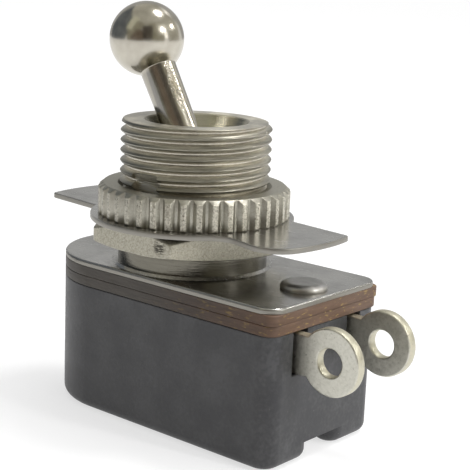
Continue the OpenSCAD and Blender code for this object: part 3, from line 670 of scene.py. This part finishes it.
def blasted_nickel():
    """Nickel on brass hexagon bar, tumbled: pale, matt and sandy, with the bite of a spanner on one
    corner."""
    material, tree, shader, place = new_material("blasted_nickel")
    sand = add(tree, "ShaderNodeTexNoise", {"Vector": place, "Scale": 1 / (0.13 * MM), "Detail": 4,
                                            "Roughness": 0.75})
    body = add(tree, "ShaderNodeValToRGB", {"Fac": sand}, [(0.32, "#8C887B"), (0.5, "#ABA799"),
                                                           (0.68, "#C6C2B4")])
    away = add(tree, "ShaderNodeVectorMath", {0: place, 1: BITE_AT}, operation="DISTANCE").outputs["Value"]
    near = add(tree, "ShaderNodeMapRange", {"Value": away, "From Min": 0.35 * MM, "From Max": 0.75 * MM,
                                            "To Min": 1.0, "To Max": 0.0})
    slanted = add(tree, "ShaderNodeMapping", {"Vector": place, "Rotation": (0.5, 0.4, 0),
                                              "Scale": (0.6, 0.6, 3)})
    teeth = add(tree, "ShaderNodeTexNoise", {"Vector": slanted, "Scale": 1 / (0.30 * MM), "Detail": 1})
    lines = add(tree, "ShaderNodeValToRGB", {"Fac": teeth}, [(0.46, 0.0), (0.52, 1.0)])
    bite = add(tree, "ShaderNodeMath", {0: near, 1: lines}, operation="MULTIPLY")
    colour = add(tree, "ShaderNodeMix", {0: bite, 6: body, 7: linear("#55524A")}, data_type="RGBA")
    rough = add(tree, "ShaderNodeMapRange", {"Value": sand, **NOISE_SPAN, "To Min": 0.38, "To Max": 0.52})
    depth = add(tree, "ShaderNodeMath", {0: sand, 1: bite}, operation="SUBTRACT")
    relief = add(tree, "ShaderNodeBump", {"Height": depth, "Distance": 0.015 * MM})
    feed(tree, shader, {"Base Color": colour, "Metallic": 1.0, "Roughness": rough, "Normal": relief})
    return material


def bright_nickel():
    """Bright nickel over polished brass: a slightly warm mirror with a soft haze, worn through to a rough
    streak down one side of the stem, and with a painted dark reflection, a grey band, down another."""
    material, tree, shader, place = new_material("bright_nickel")
    from_pivot = add(tree, "ShaderNodeVectorMath", {0: place, 1: pivot}, operation="SUBTRACT")
    along = add(tree, "ShaderNodeVectorMath", {0: from_pivot, 1: lever_axis},
                operation="DOT_PRODUCT").outputs["Value"]
    stem = add(tree, "ShaderNodeMapRange", {"Value": along, "From Min": ball_reach - ball_r,
                                            "From Max": ball_reach - ball_r + 0.4 * MM,
                                            "To Min": 1.0, "To Max": 0.0})
    scuff_at = pivot + lever_axis * SCUFF_REACH + SCUFF_SIDE * STEM_LOW_R
    away = add(tree, "ShaderNodeVectorMath", {0: place, 1: scuff_at}, operation="SUBTRACT")
    away_along = add(tree, "ShaderNodeVectorMath", {0: away, 1: lever_axis},
                     operation="DOT_PRODUCT").outputs["Value"]
    squeezed = add(tree, "ShaderNodeMath", {0: away_along, 1: 0.75}, operation="MULTIPLY")
    back_along = add(tree, "ShaderNodeVectorMath", {0: lever_axis, "Scale": squeezed}, operation="SCALE")
    narrow = add(tree, "ShaderNodeVectorMath", {0: away, 1: back_along}, operation="SUBTRACT")
    span = add(tree, "ShaderNodeVectorMath", {0: narrow}, operation="LENGTH").outputs["Value"]
    near = add(tree, "ShaderNodeMapRange", {"Value": span, "From Min": 0.15 * MM, "From Max": 0.55 * MM,
                                            "To Min": 1.0, "To Max": 0.0})
    grit = add(tree, "ShaderNodeTexNoise", {"Vector": place, "Scale": 1 / (0.20 * MM), "Detail": 4,
                                            "Roughness": 0.7})
    flakes = add(tree, "ShaderNodeValToRGB", {"Fac": grit}, [(0.47, 0.0), (0.54, 1.0)])
    scuff = add(tree, "ShaderNodeMath", {0: near, 1: flakes}, operation="MULTIPLY")
    # Painted dark reflection: a grey band down one side of the stem
    dark_reflection_reach = add(tree, "ShaderNodeVectorMath", {0: from_pivot, 1: DARK_REFLECTION_SIDE},
                    operation="DOT_PRODUCT").outputs["Value"]
    dark_reflection_band = add(tree, "ShaderNodeValToRGB",
               {"Fac": add(tree, "ShaderNodeMapRange", {"Value": dark_reflection_reach, "From Max": STEM_TOP_R})},
               [(0.55, 0.0), (0.72, 0.62), (0.95, 0.62), (1.0, 0.3)])
    painted_dark_reflection = add(tree, "ShaderNodeMath", {0: dark_reflection_band, 1: stem}, operation="MULTIPLY")
    haze = add(tree, "ShaderNodeTexNoise", {"Vector": place, "Scale": 1 / (1.0 * MM), "Detail": 5})
    body = add(tree, "ShaderNodeValToRGB", {"Fac": haze}, [(0.3, "#B4AFA3"), (0.7, "#C4BFB3")])
    with_dark_reflection = add(tree, "ShaderNodeMix", {0: painted_dark_reflection, 6: body, 7: linear("#5F6062")}, data_type="RGBA")
    colour = add(tree, "ShaderNodeMix", {0: scuff, 6: with_dark_reflection, 7: linear("#9C937E")}, data_type="RGBA")
    soft = add(tree, "ShaderNodeMapRange", {"Value": haze, **NOISE_SPAN, "To Min": 0.17, "To Max": 0.24})
    rough = add(tree, "ShaderNodeMix", {0: scuff, 2: soft, 3: 0.45})
    relief = add(tree, "ShaderNodeBump", {"Height": scuff, "Distance": 0.025 * MM})
    feed(tree, shader, {"Base Color": colour, "Metallic": 1.0, "Roughness": rough, "Normal": relief})
    return material


def tinned_brass():
    """Brass strip, blanked and hot tinned: pale satin faces with fine pits, and a yellower tone where
    the tin runs thin on the rim and round the eye."""
    material, tree, shader, place = new_material("tinned_brass")
    grain = add(tree, "ShaderNodeTexNoise", {"Vector": place, "Scale": 1 / (0.25 * MM), "Detail": 4,
                                             "Roughness": 0.65})
    body = add(tree, "ShaderNodeValToRGB", {"Fac": grain}, [(0.3, "#BBB9AD"), (0.5, "#CCCABF"),
                                                            (0.7, "#D6D4CA")])
    facing = add(tree, "ShaderNodeSeparateXYZ", {"Vector": add(tree, "ShaderNodeTexCoord").outputs["Normal"]})
    flat = add(tree, "ShaderNodeMath", {0: facing.outputs["Y"]}, operation="ABSOLUTE")
    edge = add(tree, "ShaderNodeMapRange", {"Value": flat, "From Min": 0.2, "From Max": 0.9,
                                            "To Min": 0.7, "To Max": 0.0})
    thin = add(tree, "ShaderNodeMath", {0: edge, 1: grain}, operation="MULTIPLY")
    yellowed = add(tree, "ShaderNodeMix", {0: thin, 6: body, 7: linear("#C2B994")}, data_type="RGBA")
    holes = add(tree, "ShaderNodeTexNoise", {"Vector": place, "Scale": 1 / (0.30 * MM), "Detail": 2})
    pits = add(tree, "ShaderNodeValToRGB", {"Fac": holes}, [(0.68, 0.0), (0.74, 0.6)])
    colour = add(tree, "ShaderNodeMix", {0: pits, 6: yellowed, 7: linear("#8E8A7C")}, data_type="RGBA")
    rough = add(tree, "ShaderNodeMapRange", {"Value": grain, **NOISE_SPAN, "To Min": 0.36, "To Max": 0.50})
    relief = add(tree, "ShaderNodeBump", {"Height": grain, "Distance": 0.015 * MM})
    feed(tree, shader, {"Base Color": colour, "Metallic": 1.0, "Roughness": rough, "Normal": relief})
    return material


def inner_metal(name, low, high, rough, grain_size):
    """Metal of the parts inside, where little light falls: two shades of one colour, under fine grain
    of the size that its drawing, rolling or grinding leaves."""
    material, tree, shader, place = new_material(name)
    grain = add(tree, "ShaderNodeTexNoise", {"Vector": place, "Scale": 1 / grain_size, "Detail": 3})
    colour = add(tree, "ShaderNodeValToRGB", {"Fac": grain}, [(0.3, low), (0.7, high)])
    satin = add(tree, "ShaderNodeMapRange", {"Value": grain, **NOISE_SPAN, "To Min": rough,
                                             "To Max": rough + 0.12})
    feed(tree, shader, {"Base Color": colour, "Metallic": 1.0, "Roughness": satin})
    return material


def moulded_phenolic():
    """Phenolic, compression moulded, for the slider: brown-black and satin, with a fine mottle."""
    material, tree, shader, place = new_material("moulded_phenolic")
    mottle = add(tree, "ShaderNodeTexNoise", {"Vector": place, "Scale": 1 / (0.8 * MM), "Detail": 3})
    colour = add(tree, "ShaderNodeValToRGB", {"Fac": mottle}, [(0.3, "#2A2522"), (0.7, "#38312C")])
    rough = add(tree, "ShaderNodeMapRange", {"Value": mottle, **NOISE_SPAN, "To Min": 0.36, "To Max": 0.48})
    feed(tree, shader, {"Base Color": colour, "Roughness": rough, "IOR": 1.6})
    return material


# ---------------------------------------------------------------- studio

def make_camera():
    """Long lens, from beyond the terminals' corner and a little above the housing."""
    data = bpy.data.cameras.new("camera")
    camera = bpy.data.objects.new("camera", data)
    bpy.context.scene.collection.objects.link(camera)
    data.lens = CAMERA_LENS
    data.sensor_width = 36
    data.clip_start = 0.01
    data.clip_end = 10
    aim = Matrix.Rotation(radians(CAMERA_AZIMUTH), 4, "Z")
    aim @= Matrix.Rotation(radians(90 - CAMERA_ELEVATION), 4, "X")
    aim @= Matrix.Rotation(radians(CAMERA_ROLL), 4, "Z")
    camera.matrix_world = Matrix.Translation(CAMERA_AT) @ aim
    bpy.context.scene.camera = camera


def seen_ray(tree):
    """1 for a ray from the camera, or one that metal or glass sends on."""
    path = add(tree, "ShaderNodeLightPath").outputs
    either = add(tree, "ShaderNodeMath", {0: path["Is Camera Ray"], 1: path["Is Glossy Ray"]},
                 operation="MAXIMUM")
    return add(tree, "ShaderNodeMath", {0: either, 1: path["Is Transmission Ray"]}, operation="MAXIMUM")


def light_room():
    """An even pale room, white behind the object, with soft light from above and from the right."""
    world = bpy.data.worlds.new("pale_room")
    bpy.context.scene.world = world
    world.use_nodes = True
    tree = world.node_tree
    strength = add(tree, "ShaderNodeMapRange", {"Value": seen_ray(tree), "To Min": ROOM_LEVEL})
    feed(tree, tree.nodes["Background"], {"Color": (1, 1, 1, 1), "Strength": strength})
    for name, way, width, level in SUNS:
        light = bpy.data.lights.new(name, "SUN")
        light.angle, light.energy = radians(width), level * pi
        place_lamp(light, name, Vector(way).normalized())
    for name, way, distance, size, watts in LAMPS:
        light = bpy.data.lights.new(name, "AREA")
        light.shape, light.size, light.energy = "DISK", size, watts
        place_lamp(light, name, Vector(way).normalized() * distance)


def place_lamp(light, name, place):
    """The lamp at its place, shining on the object."""
    lamp = bpy.data.objects.new(name, light)
    bpy.context.scene.collection.objects.link(lamp)
    lamp.location = place
    lamp.rotation_mode = "QUATERNION"
    lamp.rotation_quaternion = place.to_track_quat("Z", "Y")


def lay_floor():
    """White paper that keeps the object's soft shadow, brighter to the eye than to the object."""
    put_down()
    bpy.ops.mesh.primitive_plane_add(size=4)
    floor = bpy.context.object
    floor.name = "floor"
    floor.location.z = FLOOR_Z
    material, tree, shader, _ = new_material("white_paper")
    glow = add(tree, "ShaderNodeMath", {0: seen_ray(tree), 1: FLOOR_GLOW}, operation="MULTIPLY")
    feed(tree, shader, {"Base Color": linear("#AAAAAA"), "Roughness": 0.9, "Specular IOR Level": 0.0,
                        "Emission Color": (1, 1, 1, 1), "Emission Strength": glow})
    floor.data.materials.append(material)


def hang_card(name, azimuth, elevation, width, height, distance, dark, light):
    """A mottled card round the set that only polished metal picks up, as a room's walls would be.
    Its middle stands at azimuth and elevation, and it spans width by height, all in degrees."""
    a, e = radians(azimuth), radians(elevation)
    way = Vector((sin(a) * cos(e), -cos(a) * cos(e), sin(e)))
    put_down()
    bpy.ops.mesh.primitive_plane_add(size=2)
    card = bpy.context.object
    card.name = name
    card.scale = (distance * tan(radians(width / 2)), distance * tan(radians(height / 2)), 1)
    card.rotation_mode = "QUATERNION"
    card.rotation_quaternion = way.to_track_quat("Z", "Y")
    card.location = way * distance
    material, tree, shader, place = new_material(name, "ShaderNodeEmission")
    cloud = add(tree, "ShaderNodeTexNoise", {"Vector": place, "Scale": 2.0, "Detail": 2})
    shade = add(tree, "ShaderNodeValToRGB", {"Fac": cloud}, [(0.35, dark), (0.65, light)])
    feed(tree, shader, {"Color": shade})
    card.data.materials.append(material)
    for ray in ("camera", "diffuse", "transmission", "volume_scatter", "shadow"):
        setattr(card, "visible_" + ray, False)


# ---------------------------------------------------------------- the set, then the object

make_camera()
bpy.context.scene.view_settings.view_transform = "Standard"
light_room()
lay_floor()
for card in CARDS:
    hang_card(*card)

sheet_metal = plated_sheet("plated_sheet", polish=0.21, shear=0.42, cut="#918E87")
rivet_metal = plated_sheet("plated_rivet", polish=0.36, shear=0.36, cut="#B2AFA8")
bakelite, fibre, tinned = moulded_bakelite(), vulcanised_fibre(), tinned_brass()
spring_steel = inner_metal("tempered_spring_steel", "#5E6063", "#777A7D", 0.3, 0.2 * MM)
ground_steel = inner_metal("ground_steel", "#A9A7A1", "#BDBBB5", 0.2, 0.1 * MM)
turned_brass = inner_metal("turned_brass", "#B8923F", "#CBA653", 0.28, 0.2 * MM)
contact_brass = inner_metal("rolled_contact_brass", "#B07C35", "#C89147", 0.3, 0.2 * MM)

made = (
    (make_lever(), "lever", "lever_body", bright_nickel(), "bright_nickel"),
    (make_bushing(), "bushing", "switch_body", threaded_nickel(), "satin_nickel"),
    (make_rivet(), "cover_rivet", "switch_body", rivet_metal, "plated_sheet"),
    (make_gasket("upper_gasket", "upper_fibre_gasket", 0.75 * MM),
     "upper_gasket", "switch_body", fibre, "fibre"),
    (make_gasket("lower_gasket", "lower_fibre_gasket", 1.05 * MM),
     "lower_gasket", "switch_body", fibre, "fibre"),
    (eased("housing", 0.12 * MM, "moulded_housing"),
     "housing", "switch_body", bakelite, "bakelite"),
    (eased("cover_plate", 0.06 * MM, "pressed_cover"),
     "cover_plate", "switch_body", sheet_metal, "plated_sheet"),
    (eased("hex_nut", 0.07 * MM, "pressed_hex_nut"),
     "hex_nut", "switch_body", blasted_nickel(), "satin_nickel"),
    (eased("knurled_nut", 0.03 * MM, "knurled_ring_nut"),
     "knurled_nut", "switch_body", knurled_nickel(), "satin_nickel"),
    (eased("indicator_plate", 0.08 * MM, "stamped_indicator"),
     "indicator_plate", "switch_body", sheet_metal, "plated_sheet"),
    (eased("line_terminal", 0.14 * MM, "line_lug", segments=3),
     "line_terminal", "switch_body", tinned, "tinned_brass"),
    (eased("load_terminal", 0.14 * MM, "load_lug", segments=3),
     "load_terminal", "switch_body", tinned, "tinned_brass"),
)
for piece, node, body, material, slot in made:
    piece.data.materials.clear()
    piece.data.materials.append(material)
    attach(piece, body)
    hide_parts(node)

# The pieces inside keep the shapes that the frame gives them
inside = (("pivot_pin", ground_steel), ("seat_ring", turned_brass), ("wave_washer", spring_steel),
          ("retaining_ring", spring_steel), ("contact_slider", moulded_phenolic()),
          ("bridge_contact", contact_brass), ("contact_spring", spring_steel),
          ("detent_spring", spring_steel))
for node, material in inside:
    for slot in frame["nodes"][node].material_slots:
        slot.material = material
